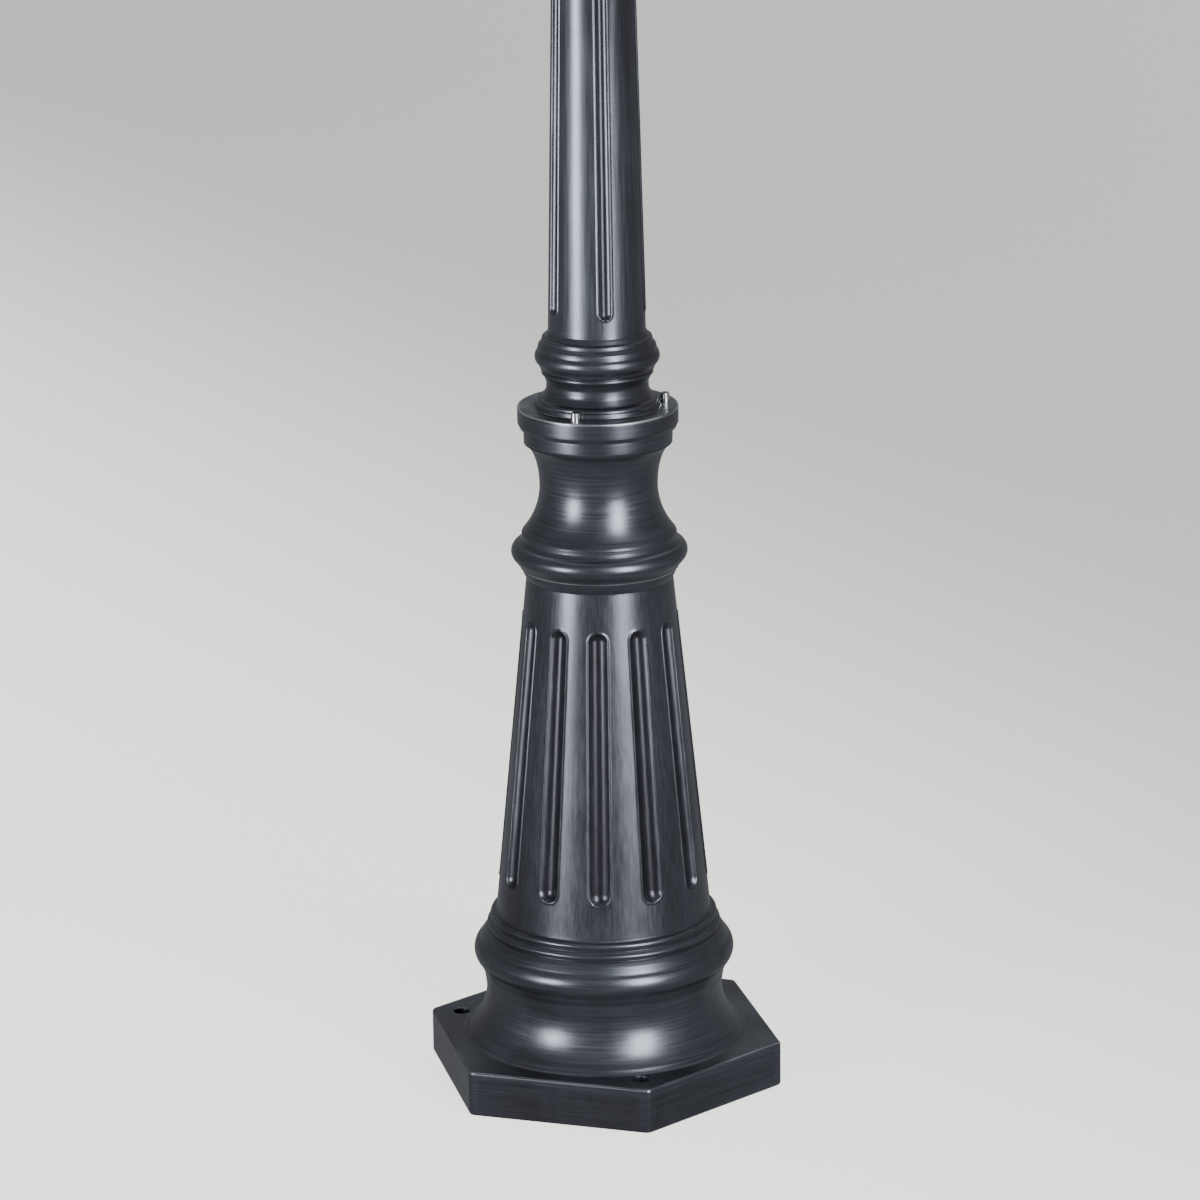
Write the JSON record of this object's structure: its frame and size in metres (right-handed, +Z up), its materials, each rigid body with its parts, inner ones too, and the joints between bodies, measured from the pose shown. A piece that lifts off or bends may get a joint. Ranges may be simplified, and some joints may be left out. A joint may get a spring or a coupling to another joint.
{
  "type": "street clock",
  "caption": "Post clock: fluted two-piece cast post on a hexagonal foot, with a double-faced drum clock, hinged glazed bezels and a turned finial.",
  "frame": {"origin": "centre of the hexagonal foot's underside", "axes": "+Z up the post; -Y towards the person reading the front dial; corners of the foot on the X axis"},
  "size_m": [0.408, 0.2772, 2.104],
  "materials": {
    "iron_patina": "near-black brushed patina on cast iron, satin",
    "head_patina": "near-black brushed patina on cast aluminium, satin",
    "steel": "bright stainless steel",
    "glass": "clear float glass",
    "dial": "ivory enamel on sheet metal",
    "hands": "black lacquer",
    "brass": "turned brass",
    "plastic": "dark moulded plastic",
    "gasket": "black rubber"
  },
  "bodies": {
    "post": {"base_casting": "iron_patina", "shaft_casting": "iron_patina", "joint_stud_1": "steel", "joint_stud_2": "steel", "joint_stud_3": "steel", "head_socket": "head_patina", "socket_screw_1": "steel", "socket_screw_2": "steel", "socket_screw_3": "steel", "drum_casing": "head_patina", "drum_bolt_1": "steel", "drum_bolt_2": "steel", "finial": "head_patina", "cable_gland": "plastic", "terminal_block": "plastic", "earth_screw": "brass", "dial_front": "dial", "dial_screw_front_1": "steel", "dial_screw_front_2": "steel", "dial_screw_front_3": "steel", "movement_front": "plastic", "bush_nut_front": "brass", "hinge_pin_front": "steel", "dial_back": "dial", "dial_screw_back_1": "steel", "dial_screw_back_2": "steel", "dial_screw_back_3": "steel", "movement_back": "plastic", "bush_nut_back": "brass", "hinge_pin_back": "steel"},
    "front_door": {"bezel_front": "head_patina", "glass_front": "glass", "glass_retainer_front": "gasket"},
    "front_latch": {"latch_front": "steel"},
    "front_hour": {"hour_pipe_front": "brass", "hour_hand_front": "hands"},
    "front_minute": {"minute_arbor_front": "steel", "minute_hand_front": "hands", "hand_nut_front": "brass"},
    "back_door": {"bezel_back": "head_patina", "glass_back": "glass", "glass_retainer_back": "gasket"},
    "back_latch": {"latch_back": "steel"},
    "back_hour": {"hour_pipe_back": "brass", "hour_hand_back": "hands"},
    "back_minute": {"minute_arbor_back": "steel", "minute_hand_back": "hands", "hand_nut_back": "brass"}
  },
  "joints": [
    {"name": "front_minute", "type": "hinge", "parent": "post", "child": "front_minute", "pos_m": [0, -0.06, 1.79], "axis": [0, 1, 0], "continuous": true},
    {"name": "front_hour", "type": "hinge", "parent": "post", "child": "front_hour", "pos_m": [0, -0.06, 1.79], "axis": [0, 1, 0], "continuous": true},
    {"name": "front_door", "type": "hinge", "parent": "post", "child": "front_door", "pos_m": [-0.194, -0.063, 1.79], "axis": [0, 0, -1], "range_deg": [0, 110]},
    {"name": "front_latch", "type": "hinge", "parent": "front_door", "child": "front_latch", "pos_m": [0.196, -0.069, 1.79], "axis": [0, -1, 0], "range_deg": [0, 90]},
    {"name": "back_minute", "type": "hinge", "parent": "post", "child": "back_minute", "pos_m": [0, 0.06, 1.79], "axis": [0, -1, 0], "continuous": true},
    {"name": "back_hour", "type": "hinge", "parent": "post", "child": "back_hour", "pos_m": [0, 0.06, 1.79], "axis": [0, -1, 0], "continuous": true},
    {"name": "back_door", "type": "hinge", "parent": "post", "child": "back_door", "pos_m": [0.194, 0.063, 1.79], "axis": [0, 0, -1], "range_deg": [0, 110]},
    {"name": "back_latch", "type": "hinge", "parent": "back_door", "child": "back_latch", "pos_m": [-0.196, 0.069, 1.79], "axis": [0, 1, 0], "range_deg": [0, 90]}
  ],
  "couplings": [
    {"joint": "front_hour", "follows": "front_minute", "ratio": 0.083333},
    {"joint": "back_minute", "follows": "front_minute", "ratio": 1},
    {"joint": "back_hour", "follows": "front_minute", "ratio": 0.083333}
  ]
}
